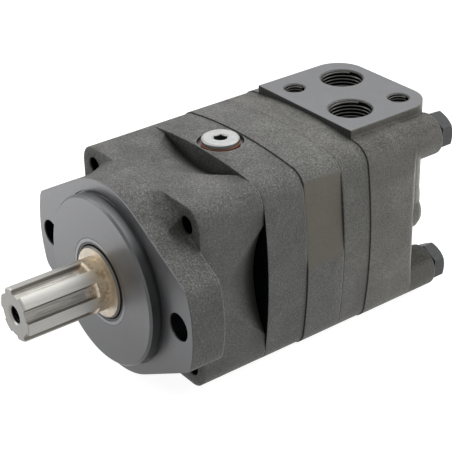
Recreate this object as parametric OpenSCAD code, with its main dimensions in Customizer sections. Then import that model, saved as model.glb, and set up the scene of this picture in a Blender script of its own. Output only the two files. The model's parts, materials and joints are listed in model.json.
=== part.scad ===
// Orbital hydraulic motor with a disc valve, drawn at full size in millimetres.
// The shaft lies along Y and points to -Y, the ports face +Z, and the origin is the centre
// of the mounting flange's front face.

/* [Mounting flange] */
// Diameter of the pilot that centres the motor
pilot_d = 82.55; // [78:0.05:86]
// Height of the pilot in front of the flange
pilot_h = 6.35; // [5:0.05:8]
// Width of the relief groove at the foot of the pilot
relief_w = 1.5; // [1:0.1:2]
// Depth of the relief groove
relief_depth = 0.9; // [0.4:0.1:1.2]
// Thickness of the flange
flange_t = 17.5; // [15:0.5:20]
// Radius of the round middle of the flange
hub_r = 47.5; // [47:0.1:49]
// Radius from the shaft axis to the ends of the two ears
ear_r = 63.5; // [62:0.5:66]
// Slope of the straight edges of the ears
ear_slope = 30; // [27:0.5:33]
// Corner radius of the ears
ear_round = 7; // [4:0.5:9]
// Distance between the two mounting holes
bolt_spacing = 106.4; // [104:0.1:108]
// Diameter of the mounting holes
bolt_hole_d = 13.5; // [11:0.1:15]

/* [Body] */
// Length of the intermediate housing
mid_len = 23; // [20:0.5:28]
// Length of the roller ring
ring_len = 22; // [20:0.5:30]
// Length of the channel plate
plate_len = 16.3; // [14:0.1:22]
// Length of the valve housing under the port pad
valve_len = 55; // [54:0.5:60]
// Wall between the rollers and the body's bulged sides
ring_wall = 9; // [8:0.1:10]
// Radius of the bulged sides
side_r = 250; // [200:5:320]
// Wall between the rollers and the tie bolt holes
tie_wall = 6.5; // [6:0.1:7.5]
// How far the roller ring and the channel plate stand proud
ring_step = 0.5; // [0:0.1:1]
// Depth of the flat that is ground on the roller ring's side for a label
label_depth = 0.9; // [0.5:0.05:1.2]
// Angle of that flat's middle, seen from the centre of the bulge
label_lift = 4.8; // [3:0.1:5]
// How far the valve housing stands proud
valve_step = 0.9; // [0.1:0.1:1.4]
// How far the scoops behind the flange cut into the bulged sides
scoop_drop = 11.2; // [9:0.1:12]
// Radius of the scoops where they meet the joint
scoop_r = 55; // [48:1:70]
// Length of the flange's flank that flares out to the four lugs
flare_len = 9; // [6:0.5:12]
// How far that flank flares out
flare = 3; // [1:0.1:4]
// Distance from the flange's front face to the ends of the tap holes for the tie bolts
drill_stop = 11; // [9:0.5:14]

/* [Valve housing] */
// Length of the housing's full width
wide_len = 34.6; // [33:0.1:38]
// Radius of the wide part's rear edges
rear_round = 12; // [8:0.5:14]
// Length of the four tie bolt bosses
boss_len = 47.9; // [46:0.1:50]
// Radius of the round rear dome
dome_r = 35; // [32:0.5:36]
// Length from the joint to the end of the dome
dome_len = 50; // [49:0.5:53]
// Radius of the cast boss beside the dome
side_boss_r = 10.5; // [8:0.5:12]
// Radius of the upright ridge between that boss and the bolt boss above it
ridge_r = 9; // [7:0.5:10]
// How far the ridge stands out behind the housing's full width
ridge_out = 4.9; // [3:0.1:6]

/* [Port pad] */
// Width of the port pad
pad_w = 69; // [64:0.5:72]
// Height of the pad's face above the side of the valve housing
pad_rise = 1.5; // [1.2:0.1:5]
// Radius of the pad's two rear corners
pad_round = 15; // [8:0.5:18]
// Diameter of the port threads
port_d = 20.95; // [18:0.05:22]
// Depth of the port threads
port_depth = 16; // [12:0.5:17]
// Distance of each port from the pad's centre, across the shaft
port_x = 15.25; // [14:0.05:17]
// Distance of each port from the pad's centre, along the shaft
port_y = 10.65; // [9.5:0.05:11]
// Diameter of the two manifold screw threads
fix_d = 10; // [8:0.5:11]
// Depth of the manifold screw threads
fix_depth = 15; // [12:0.5:16]
// Distance of each manifold screw from the pad's centre, across the shaft
fix_x = 20.75; // [20:0.05:22]
// Distance of each manifold screw from the pad's centre, along the shaft
fix_y = 15.65; // [14.5:0.05:17]

/* [Output shaft] */
// Distance from the flange's face to the end of the shaft
shaft_len = 50.5; // [40:0.5:60]
// Outer diameter of the splined end
spline_d = 25.4; // [24:0.1:27]
// Root diameter of the splined end
spline_root_d = 21.1; // [20:0.1:22]
// Width of each spline tooth
spline_tooth_w = 6.3; // [5.5:0.1:7]
// Distance from the collar to the end of the spline grooves
spline_stop = 6.5; // [4:0.5:9]
// Diameter of the shaft at the seals and bearings
journal_d = 35; // [34:0.1:36]
// How far the collar stands out of the pilot
collar_out = 1.1; // [0.5:0.1:2]
// Diameter of the thread in the shaft's end
end_thread_d = 8; // [6:0.5:9]
// Depth of the thread in the shaft's end
end_thread_depth = 18; // [12:0.5:22]
// Radius of the middle shoulder between the bearings
shoulder_r = 22; // [21.5:0.1:22.5]
// Length of that shoulder, which keeps the bearings apart
shoulder_len = 4.95; // [4:0.05:10]

/* [Bearings and seals] */
// Outer diameter of both bearings
bearing_d = 62; // [61:0.5:63]
// Width of both bearings
bearing_t = 17; // [16:0.5:18]
// Rollers in each bearing
bearing_rollers = 14; // [12:1:15]
// Share of a bearing's section that its rollers take
roller_share = 0.474; // [0.45:0.001:0.49]
// Share of a bearing's section that its cup takes
cup_share = 0.222; // [0.2:0.001:0.24]
// Outer diameter of the dust seal
dust_d = 42.4; // [42:0.1:44]
// Width of the dust seal
dust_t = 4.8; // [4:0.1:5]
// Outer diameter of the shaft seal
seal_d = 48; // [46:0.5:50]
// Width of the shaft seal
seal_t = 7; // [6:0.5:8]
// Thickness of the ring behind the shaft seal
backup_t = 1.5; // [1:0.1:2]
// Thickness of the shim behind the rear bearing
shim_t = 1; // [0.5:0.1:1.5]
// Width of the shim's ring
shim_w = 3; // [2:0.5:5]

/* [Roller gear set] */
// Rollers in the ring; the rotor has one lobe fewer
ring_rollers = 7; // [7]
// Radius of the circle through the roller centres
roller_circle_r = 33; // [32.5:0.1:33.5]
// Radius of each roller
roller_r = 7.5; // [7.2:0.1:7.7]
// Distance of the rotor's axis from the shaft axis
eccentricity = 3; // [2.8:0.05:3.1]

/* [Drive links] */
// Teeth of the inner splines
drive_teeth = 12; // [12]
// Radius over the teeth of a drive link
drive_tip_r = 11.7; // [11.4:0.1:11.8]
// Radius of the links between their heads
drive_shank_r = 7.5; // [6.5:0.1:8]
// Half length of the long link's heads
cardan_head = 5; // [4:0.1:5.2]
// Distance from the shaft's shoulder back to the middle of the long link's front head
cardan_depth = 2; // [0:0.5:5]
// Half length of the short link's heads
link_head = 2.5; // [2:0.1:2.7]
// Thickness of the spacer between the two links
spacer_t = 1.6; // [1.2:0.1:1.8]

/* [Disc valve] */
// Radius of the disc valve
disc_r = 29.5; // [28.5:0.1:30]
// Thickness of the disc valve
disc_t = 15; // [14:0.5:16]
// Radius of the chamber around the disc valve
chamber_r = 33; // [32:0.1:34]
// Length of that chamber
chamber_len = 19.5; // [19:0.1:20]
// Radius of the balance plate's wide part
balance_r = 27.5; // [26.5:0.1:28]
// Radius of the balance plate's narrow part
balance_neck_r = 21.8; // [21:0.1:22]
// Coil springs behind the balance plate
spring_count = 3; // [2:1:4]

/* [Drain plug and tie bolts] */
// Diameter of the drain thread
drain_d = 13.16; // [11:0.05:14]
// Diameter of the plug's head
plug_head_d = 18; // [17:0.5:20]
// Height of the plug's head
plug_head_h = 2.6; // [2:0.1:4]
// Distance across the flats of the plug's socket
plug_socket = 6; // [4:0.5:7]
// Thickness of the copper washer
washer_t = 1.5; // [1:0.1:2]
// Depth of the flat face under the washer
spot_drop = 2.1; // [1:0.1:3]
// Diameter of the tie bolts
tie_d = 10; // [9:0.5:10.5]
// Diameter of the tap holes that the tie bolts' threads are cut in
tap_d = 8.7; // [8:0.1:9]
// Distance across the flats of the tie bolt heads
tie_head_af = 17; // [15:0.5:17]
// Height of the tie bolt heads
tie_head_h = 7.1; // [5:0.1:8]
// Height of the round neck under each head
tie_neck_h = 1.8; // [0.5:0.1:2.5]
// How far the tie bolts stop short of the flange's rear face
tie_short = 7; // [5:0.5:12]

/* [Hidden] */
$fa = 3;
$fs = 0.5;

// Clearances
slip = 0.1;        // a located part in its seat
run = 0.15;        // a turning part beside a still one
mesh_gap = 0.08;   // between a roller and its track
axial_gap = 0.15;  // at each end of the rotor and the disc valve
bolt_clear = 0.3;  // around a tie bolt

// Square body: its sides clear the rollers, and the tie bolts pass outside them
gear_reach = roller_circle_r + roller_r;
side_w = gear_reach + ring_wall;
tie_hole_r = tie_d / 2 + bolt_clear;
tie_off = (gear_reach + tie_wall + tie_hole_r) / sqrt(2);
scoop_floor = side_w - scoop_drop;
pad_z = side_w + valve_step + pad_rise;
spot_z = side_w - spot_drop;

// Seals and bearings, from the front, and the front housing that they fill
dust_end = dust_t - pilot_h;
lip_wall = 1.6;
seal_start = dust_end + lip_wall;
seal_end = seal_start + seal_t;
bearing1 = seal_end + backup_t;
shoulder1 = bearing1 + bearing_t;
shoulder2 = shoulder1 + shoulder_len;
bearing2_end = shoulder2 + bearing_t;
spigot_h = 4;

// Joints between the sections, measured along the shaft
joint1 = bearing2_end + shim_t + spigot_h;
joint2 = joint1 + mid_len;
joint3 = joint2 + ring_len;
joint4 = joint3 + plate_len;
pad_mid = joint4 + valve_len / 2;

// Shape of the body: bulged sides that run into round corners about the tie bolts
side_c = side_r - side_w;
corner_r = side_r - sqrt(pow(tie_off, 2) + pow(tie_off + side_c, 2));
lug_w = tie_off + corner_r;
corner_swell = 0.05;
label_skew = -0.7;

// Bores, journals and the flange's edges
bearing_r = bearing_d / 2;
pilot_r = pilot_d / 2;
pilot_edge = 1;
relief_face = 0.6;
tap_r = tap_d / 2;
thread_start = flange_t + tie_short - 1;
journal_r = journal_d / 2;
shaft_end = bearing2_end + 0.7;
case_wall = 1.9;
collar_y = -pilot_h - collar_out;
cutter_r = 12;
tooth_turn = 40;
drain_y = joint1 + mid_len / 2;
drain_len = 9;

// Bearing angles
taper = 12;
track_mid = bearing_t / 2 - 0.5;
bearing_section = bearing_r - journal_r;
bearing_roller_d = roller_share * bearing_section;
pitch_r = bearing_r - cup_share * bearing_section - bearing_roller_d / 2;
apex = track_mid - pitch_r / tan(taper);
half_cone = asin(bearing_roller_d / 2 / (pitch_r / sin(taper)));
roller_half_len = bearing_t / 2 - 3;
cup_short = 3;
rib_gap = 0.3;
small_rib = 0.9;
large_rib = 1.5;

// Gear set, drive links and valve
rotor_gap = 0.12;
flank_step = 1.5;
head1 = shoulder1 - cardan_depth;
head2 = joint2 + axial_gap + 0.45 + cardan_head;
cardan_len = head2 - head1;
cardan_tilt = atan(eccentricity / cardan_len);
spacer1 = head2 + cardan_head + 0.5;
link1 = spacer1 + spacer_t + 0.9 + link_head;
disc1 = joint4 + axial_gap;
disc2 = disc1 + disc_t;
disc_rim = 3.5;
window_len = 3;
link2 = disc1 + 4.5 + link_head;
link_len = link2 - link1;
link_tilt = atan(eccentricity / link_len);
drive_core_r = drive_tip_r - 2;
socket_tip_r = drive_core_r + 0.75;
socket_root_r = drive_tip_r + 0.6;
tooth_w = 2.3;
slot_w = 3.2;
crown = 0.3;
shaft_bore_r = 13;
link_bore_r = 15;
plate_bore_r = 12.5;
passage_circle_r = 26;
passage_r = 2.8;
balance1 = disc2 + axial_gap;
balance_len = 8;
balance_bore_r = 9.5;
balance_step = joint4 + chamber_len + balance_len;
balance2 = balance_step + balance_len;
seal_slot = 2.5;
slot_depth = 2;
spring_room = 7.6;
chamber_end = balance2 + spring_room;
spring_r = 3.4;
spring_wire = 1.1;
spring_turns = 4;
spring_circle_r = (balance_neck_r + balance_bore_r) / 2;
front_drill_r = 6;
rear_drill_r = 4;
head_room = 0.8;
side_boss_x = tie_off + 1;
side_boss_z = 1.5;

// Seal grooves in the joints
seal_cord = 1.6;
seal1_r = bearing_r + 2.9;
seal_outer_r = gear_reach + tie_wall / 2;

// Radius of a section's round corners, a little over the tangent circle so that the two cross
function section_corner(grow) = corner_r + grow + corner_swell;

// Stands the shape's own Z axis along the motor's Y axis, with its Y axis upwards
module along_y(y = 0) {
    translate([0, y, 0]) rotate([90, 0, 0]) mirror([0, 0, 1]) children();
}

module turned(profile) {
    along_y() rotate_extrude() polygon(profile);
}

module ring(y1, y2, outer, inner = 0) {
    turned([[inner, y1], [outer, y1], [outer, y2], [inner, y2]]);
}

module bore(y1, y2, r) {
    along_y(y1) cylinder(r = r, h = y2 - y1);
}

module at_ties() {
    for (x = [-tie_off, tie_off], z = [-tie_off, tie_off]) translate([x, 0, z]) children();
}

// The body's outline seen along the shaft, grown by a step all round
module section_outline(grow = 0) {
    edge = tie_off * (side_r + grow) / (side_r - corner_r);
    intersection() {
        intersection_for (k = [0:3])
            rotate(90 * k) translate([0, -side_c]) circle(r = side_r + grow, $fa = 0.75);
        union() {
            square([2 * edge, 3 * side_w], center = true);
            square([3 * side_w, 2 * edge], center = true);
        }
    }
    for (x = [-tie_off, tie_off], y = [-tie_off, tie_off])
        translate([x, y]) circle(r = section_corner(grow));
}

module section_block(y1, y2, grow = 0) {
    along_y(y1) linear_extrude(height = y2 - y1) section_outline(grow);
}

module tie_holes(y1, y2) {
    at_ties() bore(y1 - 1, y2 + 1, tie_hole_r);
}

module seal_groove(y, r) {
    ring(y, y + seal_cord, r + seal_cord / 2 + 0.3, r - seal_cord / 2 - 0.3);
}

module section_seal(y, r) {
    color("#1c1c1c") along_y(y + seal_cord / 2) rotate_extrude()
        translate([r, 0]) circle(r = seal_cord / 2 - 0.01, $fn = 24);
}

// The flange's outline: a round hub with two ears, each cut off by an arc
module ear_outline() {
    n = [sin(ear_slope), cos(ear_slope)];
    start = hub_r * n[0];
    swing = acos((hub_r - ear_round) / (ear_r - ear_round));
    corner_a = 90 - ear_slope - swing;
    corner = (ear_r - ear_round) * [cos(corner_a), sin(corner_a)];
    out = 3 * ear_round;
    difference() {
        intersection() {
            circle(r = ear_r, $fa = 1.5);
            polygon([[start, -hub_r * n[1]], [start, hub_r * n[1]], [hub_r / n[0], 0]]);
        }
        for (s = [0, 1]) mirror([0, s]) polygon([corner, corner + out * n,
            corner + 2 * out * [1, 1], corner + out * [cos(corner_a), sin(corner_a)]]);
    }
    for (s = [-1, 1]) translate([corner[0], s * corner[1]]) circle(r = ear_round + corner_swell);
}

module flange_outline() {
    circle(r = hub_r, $fa = 1.5);
    ear_outline();
    mirror([1, 0]) ear_outline();
}

module lug_outline() {
    square([2 * tie_off, 2 * lug_w], center = true);
    square([2 * lug_w, 2 * tie_off], center = true);
    for (x = [-tie_off, tie_off], y = [-tie_off, tie_off]) translate([x, y]) circle(r = corner_r);
}

// One scoop: its floor curves down from the flange to the joint
module scoop() {
    start = flange_t + 1.5;
    run_len = joint1 - start;
    drop = lug_w - scoop_floor;
    curve_r = (pow(run_len, 2) + pow(drop, 2)) / (2 * drop);
    steps = 10;
    centre = scoop_floor + scoop_r;
    function fall(s) = curve_r - sqrt(pow(curve_r, 2) - pow(s, 2));
    curve = [for (k = [0:steps]) let (s = run_len * k / steps)
        [centre - lug_w + fall(s), start + s]];
    tail = curve[steps] + [0.6, 1];
    translate([0, 0, centre]) turned(concat([[0, start]], curve, [tail, [0, joint1 + 1]]));
}

module front_housing() {
    color("#5c5e60") difference() {
        union() {
            turned([[0, -pilot_h], [pilot_r - pilot_edge, -pilot_h],
                [pilot_r, pilot_edge - pilot_h], [pilot_r, 1], [0, 1]]);
            intersection() {
                turned([[0, flange_t - flare_len], [hub_r - 0.1, flange_t - flare_len],
                    [hub_r + flare, flange_t], [0, flange_t]]);
                along_y() linear_extrude(height = flange_t) lug_outline();
            }
            along_y() linear_extrude(height = flange_t) flange_outline();
            difference() {
                along_y(flange_t) linear_extrude(height = joint1 - flange_t) lug_outline();
                for (a = [0:90:270]) rotate([0, a, 0]) scoop();
            }
        }
        for (s = [-1, 1]) translate([s * bolt_spacing / 2, 0, 0])
            bore(-1, flange_t + 1, bolt_hole_d / 2);
        ring(-relief_w, relief_face, pilot_r + relief_face, pilot_r - relief_depth);
        at_ties() turned([[0, drill_stop - tap_r / 2], [tap_r, drill_stop], [tap_r, thread_start],
            [tie_d / 2, thread_start + tie_d / 2 - tap_r], [tie_d / 2, joint1 + 1],
            [0, joint1 + 1]]);
        bore(-pilot_h - 1, dust_end, dust_d / 2);
        bore(dust_end - 1, seal_start + 1, journal_r + 0.9);
        bore(seal_start, bearing1 + 1, seal_d / 2);
        bore(bearing1, joint1 + 1, bearing_r);
        seal_groove(joint1 - seal_cord, seal1_r);
    }
}

module seal_case() {
    color("#77797b") ring(-pilot_h, dust_end, dust_d / 2, dust_d / 2 - case_wall);
}

module dust_seal() {
    lip = journal_r + run;
    seat = dust_d / 2 - case_wall;
    color("#161616") turned([[lip, 1.2 - pilot_h], [lip + 0.5, 0.2 - pilot_h],
        [seat, 0.2 - pilot_h], [seat, dust_end], [lip + 1.1, dust_end], [lip + 0.9, 2.4 - pilot_h]]);
}

module shaft_seal() {
    lip = journal_r + run;
    color("#1f1f1f") turned([[seal_d / 2, seal_start], [seal_d / 2, seal_end],
        [seal_d / 2 - 1.5, seal_end], [seal_d / 2 - 1.5, seal_start + 2.2],
        [lip + 2, seal_start + 2.2], [lip + 2.4, seal_end - 1], [lip + 0.8, seal_end - 0.6],
        [lip, seal_end - 2], [lip + 0.6, seal_start]]);
}

module seal_backup_ring() {
    color("#d8d4c8") ring(seal_end, bearing1, seal_d / 2, journal_r + 0.4);
}

// Radius of a bearing track at a distance from the bearing's small end
function track_r(s, angle) = (s - apex) * tan(angle);

module bearing_cup() {
    cup_t = bearing_t - cup_short;
    inner = taper + half_cone;
    turned([[track_r(0, inner), 0], [bearing_r, 0], [bearing_r, cup_t],
        [track_r(cup_t, inner), cup_t]]);
}

module bearing_cone() {
    inner = taper - half_cone;
    lean = bearing_roller_d / 2 * sin(taper);
    s1 = track_mid - roller_half_len * cos(taper) + lean - rib_gap;
    s2 = track_mid + roller_half_len * cos(taper) + lean + rib_gap;
    turned([[journal_r, 1], [track_r(1, inner) + small_rib, 1],
        [track_r(s1, inner) + small_rib, s1], [track_r(s1, inner), s1], [track_r(s2, inner), s2],
        [track_r(s2, inner) + large_rib, s2], [track_r(s2, inner) + large_rib, bearing_t],
        [journal_r, bearing_t]]);
}

module at_bearing_rollers(offset = 0) {
    for (k = [0:bearing_rollers - 1])
        rotate([0, 360 * (k + offset) / bearing_rollers, 0])
            translate([0, track_mid, pitch_r]) rotate([taper, 0, 0]) children();
}

module bearing_roller() {
    r1 = bearing_roller_d / 2 - mesh_gap - roller_half_len * tan(half_cone);
    r2 = bearing_roller_d / 2 - mesh_gap + roller_half_len * tan(half_cone);
    along_y(-roller_half_len) cylinder(r1 = r1, r2 = r2, h = 2 * roller_half_len);
}

module bearing_cage() {
    end = roller_half_len + 1;
    for (s = [-end, end]) turned([
        [track_r(track_mid + s, taper) - 0.7, track_mid + s - 0.4],
        [track_r(track_mid + s, taper) + 0.7, track_mid + s - 0.4],
        [track_r(track_mid + s, taper) + 0.7, track_mid + s + 0.4],
        [track_r(track_mid + s, taper) - 0.7, track_mid + s + 0.4]]);
    at_bearing_rollers(0.5) along_y(-end) cylinder(r = 0.7, h = 2 * end, $fn = 16);
}

module in_front_bearing() {
    translate([0, bearing1, 0]) children();
}

module in_rear_bearing() {
    translate([0, bearing2_end, 0]) mirror([0, 1, 0]) children();
}

module front_bearing_cup() { color("#b9bcc0") in_front_bearing() bearing_cup(); }
module front_bearing_cone() { color("#c4c7ca") in_front_bearing() bearing_cone(); }
module front_bearing_cage() { color("#8f8b7c") in_front_bearing() bearing_cage(); }
module front_bearing_rollers() {
    color("#d2d4d6") in_front_bearing() at_bearing_rollers() bearing_roller();
}

module rear_bearing_cup() { color("#b9bcc0") in_rear_bearing() bearing_cup(); }
module rear_bearing_cone() { color("#c4c7ca") in_rear_bearing() bearing_cone(); }
module rear_bearing_cage() { color("#8f8b7c") in_rear_bearing() bearing_cage(); }
module rear_bearing_rollers() {
    color("#d2d4d6") in_rear_bearing() at_bearing_rollers() bearing_roller();
}

module bearing_shim() {
    color("#9fa3a6") ring(bearing2_end, bearing2_end + shim_t, bearing_r - slip, bearing_r - shim_w);
}

// Female spline that the drive links turn in
module socket_cut(y1, y2) {
    bore(y1, y2, socket_tip_r);
    for (k = [0:drive_teeth - 1]) rotate([0, 360 * k / drive_teeth, 0]) intersection() {
        translate([-slot_w / 2, y1, 0]) cube([slot_w, y2 - y1, socket_root_r + 1]);
        bore(y1, y2, socket_root_r);
    }
}

// Crowned head of a drive link: its teeth thin out towards both ends
module drive_head(half) {
    side = [for (s = [-1:0.5:1]) [tooth_w / 2 - crown * s * s, half * s]];
    flip = [for (s = [1:-0.5:-1]) [crown * s * s - tooth_w / 2, half * s]];
    tips = [for (s = [-1:0.5:1]) [drive_tip_r - crown * s * s, half * s]];
    bore(-half, half, drive_core_r);
    for (k = [0:drive_teeth - 1]) rotate([0, 360 * k / drive_teeth, 0]) intersection() {
        linear_extrude(height = drive_tip_r + 1) polygon(concat(side, flip));
        turned(concat(tips, [[0, half], [0, -half]]));
    }
}

// The splined end: a core whose grooves run out in the cutter's curve, and six teeth
module spline_end() {
    tip = -shaft_len;
    plain = collar_y - spline_stop;
    root = spline_root_d / 2;
    rise = spline_d / 2 - root;
    sweep_len = sqrt(pow(cutter_r, 2) - pow(cutter_r - rise, 2));
    steps = 8;
    run_out = [for (k = [0:steps]) let (s = sweep_len * k / steps)
        [root + cutter_r - sqrt(pow(cutter_r, 2) - s * s), plain - sweep_len + s]];
    turned(concat([[0, tip], [root, tip]], run_out, [[spline_d / 2, collar_y + 1],
        [0, collar_y + 1]]));
    intersection() {
        turned([[0, tip], [spline_d / 2 - 0.8, tip], [spline_d / 2, tip + 0.8],
            [spline_d / 2, plain + 1], [0, plain + 1]]);
        for (k = [0:2]) rotate([0, tooth_turn + 60 * k, 0])
            translate([-spline_tooth_w / 2, tip, -spline_d])
                cube([spline_tooth_w, plain + 0.5 - tip, 2 * spline_d]);
    }
}

module output_shaft() {
    color("#c9c5bd") difference() {
        union() {
            spline_end();
            turned([[0, collar_y], [journal_r - 0.8, collar_y], [journal_r, collar_y + 0.8],
                [journal_r, shoulder1], [shoulder_r, shoulder1], [shoulder_r, shoulder2],
                [journal_r, shoulder2], [journal_r, shaft_end - 1], [journal_r - 1, shaft_end],
                [0, shaft_end]]);
        }
        translate([0, -shaft_len, 0]) {
            bore(-1, end_thread_depth, end_thread_d / 2);
            turned([[0, -0.01], [end_thread_d / 2 + 0.9, -0.01], [0, end_thread_d / 2 + 0.9]]);
        }
        socket_cut(head1 - cardan_head - 1, head1 + cardan_head + 1);
        bore(head1 + cardan_head, shaft_end + 1, shaft_bore_r);
        turned([[0, head1 - cardan_head - 4], [socket_tip_r, head1 - cardan_head - 1],
            [socket_tip_r, head1], [0, head1]]);
    }
}

// A drive link that leans from the shaft axis to the rotor's axis
module drive_link(y1, y2, lean, half, shank_r) {
    len = (y2 - y1) / cos(lean);
    translate([lean > 0 ? 0 : eccentricity, y1, 0]) rotate([0, 0, -lean]) {
        drive_head(half);
        translate([0, len, 0]) drive_head(half);
        turned([[0, 0], [drive_core_r, half], [shank_r, half + 2], [shank_r, len - half - 2],
            [drive_core_r, len - half], [0, len]]);
    }
}

module cardan_shaft() {
    color("#8e9093") drive_link(head1, head2, cardan_tilt, cardan_head, drive_shank_r);
}

module valve_link() {
    color("#8e9093") drive_link(link1, link2, -link_tilt, link_head, drive_shank_r - 1);
}

module link_spacer() {
    mid = spacer1 + spacer_t / 2;
    rim = socket_tip_r - 0.25;
    color("#a4a6a9") translate([eccentricity, 0, 0]) turned([[0, spacer1], [6, spacer1],
        [6, mid - 0.25], [rim, mid - 0.25], [rim, mid + 0.25], [6, mid + 0.25],
        [6, spacer1 + spacer_t], [0, spacer1 + spacer_t]]);
}

module intermediate_housing() {
    color("#58595b") difference() {
        union() {
            section_block(joint1, joint2);
            bore(joint1 - spigot_h, joint1 + 1, bearing_r - slip);
        }
        tie_holes(joint1, joint2);
        bore(joint1 - spigot_h - 1, joint1 + 5, bearing_r - 5);
        bore(joint1, joint2 + 1, link_bore_r);
        seal_groove(joint2 - seal_cord, seal_outer_r);
        translate([0, drain_y, 0]) {
            translate([0, 0, spot_z]) cylinder(r = plug_head_d / 2 + 2.2, h = side_w);
            translate([0, 0, spot_z - drain_len - 3]) cylinder(r = drain_d / 2, h = drain_len + 4);
            cylinder(r = 4, h = spot_z);
        }
    }
}

module drain_plug() {
    top = spot_z + washer_t + plug_head_h;
    socket_depth = plug_head_h + 2;
    color("#d5d7d8") translate([0, drain_y, 0]) difference() {
        union() {
            translate([0, 0, spot_z - drain_len])
                cylinder(r = drain_d / 2 - slip, h = drain_len + washer_t + 1);
            rotate_extrude() polygon([[0, spot_z + washer_t],
                [plug_head_d / 2, spot_z + washer_t], [plug_head_d / 2, top - 0.6],
                [plug_head_d / 2 - 0.8, top], [0, top]]);
        }
        translate([0, 0, top - socket_depth]) rotate([0, 0, 20])
            cylinder(r = plug_socket / 2 / cos(30), h = socket_depth + 1, $fn = 6);
        translate([0, 0, top - 0.7])
            cylinder(r1 = plug_socket / 2, r2 = plug_socket / 2 + 1, h = 1);
    }
}

module drain_washer() {
    color("#b5653c") translate([0, drain_y, spot_z]) difference() {
        cylinder(r = plug_head_d / 2 + 0.3, h = washer_t);
        translate([0, 0, -1]) cylinder(r = drain_d / 2, h = washer_t + 2);
    }
}

// Centre of roller k in the ring, seen along the shaft
function roller_at(k) = roller_circle_r * [cos(360 * k / ring_rollers), sin(360 * k / ring_rollers)];

// Flat for a label: it leans with the bulge, and a little along the shaft
module label_flat() {
    reach = side_r + ring_step - label_depth;
    translate([-side_c, joint3, 0]) rotate([0, -label_lift, label_skew])
        translate([reach, -2 * ring_len, -side_w]) cube([ring_len, 3 * ring_len, 2 * side_w]);
}

module roller_ring() {
    color("#606264") difference() {
        section_block(joint2, joint3, ring_step);
        label_flat();
        tie_holes(joint2, joint3);
        bore(joint2 - 1, joint3 + 1, roller_circle_r - 0.8);
        for (k = [0:ring_rollers - 1])
            translate([roller_at(k)[0], 0, roller_at(k)[1]])
                bore(joint2 - 1, joint3 + 1, roller_r + slip);
    }
}

module gear_roller(k) {
    color("#b4b8bb") translate([roller_at(k)[0], 0, roller_at(k)[1]]) {
        turned([[0, joint2 + axial_gap], [roller_r - 0.3, joint2 + axial_gap],
            [roller_r, joint2 + axial_gap + 0.3], [roller_r, joint3 - axial_gap - 0.3],
            [roller_r - 0.3, joint3 - axial_gap], [0, joint3 - axial_gap]]);
    }
}

module gear_roller_1() { gear_roller(0); }
module gear_roller_2() { gear_roller(1); }
module gear_roller_3() { gear_roller(2); }
module gear_roller_4() { gear_roller(3); }
module gear_roller_5() { gear_roller(4); }
module gear_roller_6() { gear_roller(5); }
module gear_roller_7() { gear_roller(6); }

// The rotor's flank is the curve that touches every roller in every position
function rotor_point(a) =
    let (n = ring_rollers,
        centre = [roller_circle_r * cos(a) - eccentricity * cos(n * a),
            roller_circle_r * sin(a) - eccentricity * sin(n * a)],
        normal = [roller_circle_r * cos(a) - n * eccentricity * cos(n * a),
            roller_circle_r * sin(a) - n * eccentricity * sin(n * a)])
    centre - (roller_r + rotor_gap) * normal / norm(normal);

module rotor() {
    y1 = joint2 + axial_gap;
    y2 = joint3 - axial_gap;
    color("#aeb2b6") translate([eccentricity, 0, 0]) difference() {
        along_y(y1) linear_extrude(height = y2 - y1)
            polygon([for (a = [0:flank_step:360 - flank_step]) rotor_point(a)]);
        socket_cut(y1 - 1, y2 + 1);
    }
}

module channel_plate() {
    color("#5a5c5e") difference() {
        section_block(joint3, joint4, ring_step);
        tie_holes(joint3, joint4);
        bore(joint3 - 1, joint4 + 1, plate_bore_r);
        for (k = [0:ring_rollers - 1]) rotate([0, 360 * (k + 0.5) / ring_rollers, 0])
            translate([passage_circle_r, 0, 0]) bore(joint3 - 1, joint4 + 1, passage_r);
        seal_groove(joint3, seal_outer_r);
        seal_groove(joint4 - seal_cord, seal_outer_r);
    }
}

// The windows open in turn to the chamber outside and to the space behind the disc
module disc_valve() {
    lobes = ring_rollers - 1;
    half = 8;
    color("#a9adb0") difference() {
        ring(disc1, disc2, disc_r);
        socket_cut(disc1 - 1, disc2 + 1);
        ring(disc2 - 5, disc2 + 1, disc_r - disc_rim, socket_root_r + 1.7);
        for (k = [0:2 * lobes - 1]) rotate([0, 180 * k / lobes, 0]) {
            open = k % 2 == 0;
            rim = open ? disc_r + 2 : disc_r - disc_rim;
            root = disc_r - disc_rim - window_len;
            depth = open ? 7 : disc_t - 3;
            along_y(disc1 - 1) linear_extrude(height = depth + 1) polygon([
                root * [cos(half), sin(half)], root * [cos(half), -sin(half)],
                rim * [cos(half), -sin(half)], rim * [cos(half), sin(half)]]);
        }
    }
}

// The slot of a sealing ring, or the ring itself with its clearance, before a shoulder
module balance_slot(shoulder, outer, inner, clear = 0) {
    ring(shoulder - 2 * seal_slot + clear, shoulder - seal_slot - clear, outer, inner);
}

module balance_plate() {
    lip = balance_step - 0.3;
    color("#9c9fa2") difference() {
        turned([[balance_bore_r, balance1], [balance_r, balance1], [balance_r, lip],
            [balance_neck_r, lip], [balance_neck_r, balance2], [balance_bore_r, balance2]]);
        balance_slot(balance_step, balance_r + 1, balance_r - slot_depth);
        balance_slot(balance2, balance_neck_r + 1, balance_neck_r - slot_depth);
    }
}

module balance_front_seal() {
    color("#2a2a2a") balance_slot(balance_step, balance_r + slip / 2,
        balance_r - slot_depth + slip, slip);
}

module balance_rear_seal() {
    color("#2a2a2a") balance_slot(balance2, balance_neck_r + slip / 2,
        balance_neck_r - slot_depth + slip, slip);
}

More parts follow.
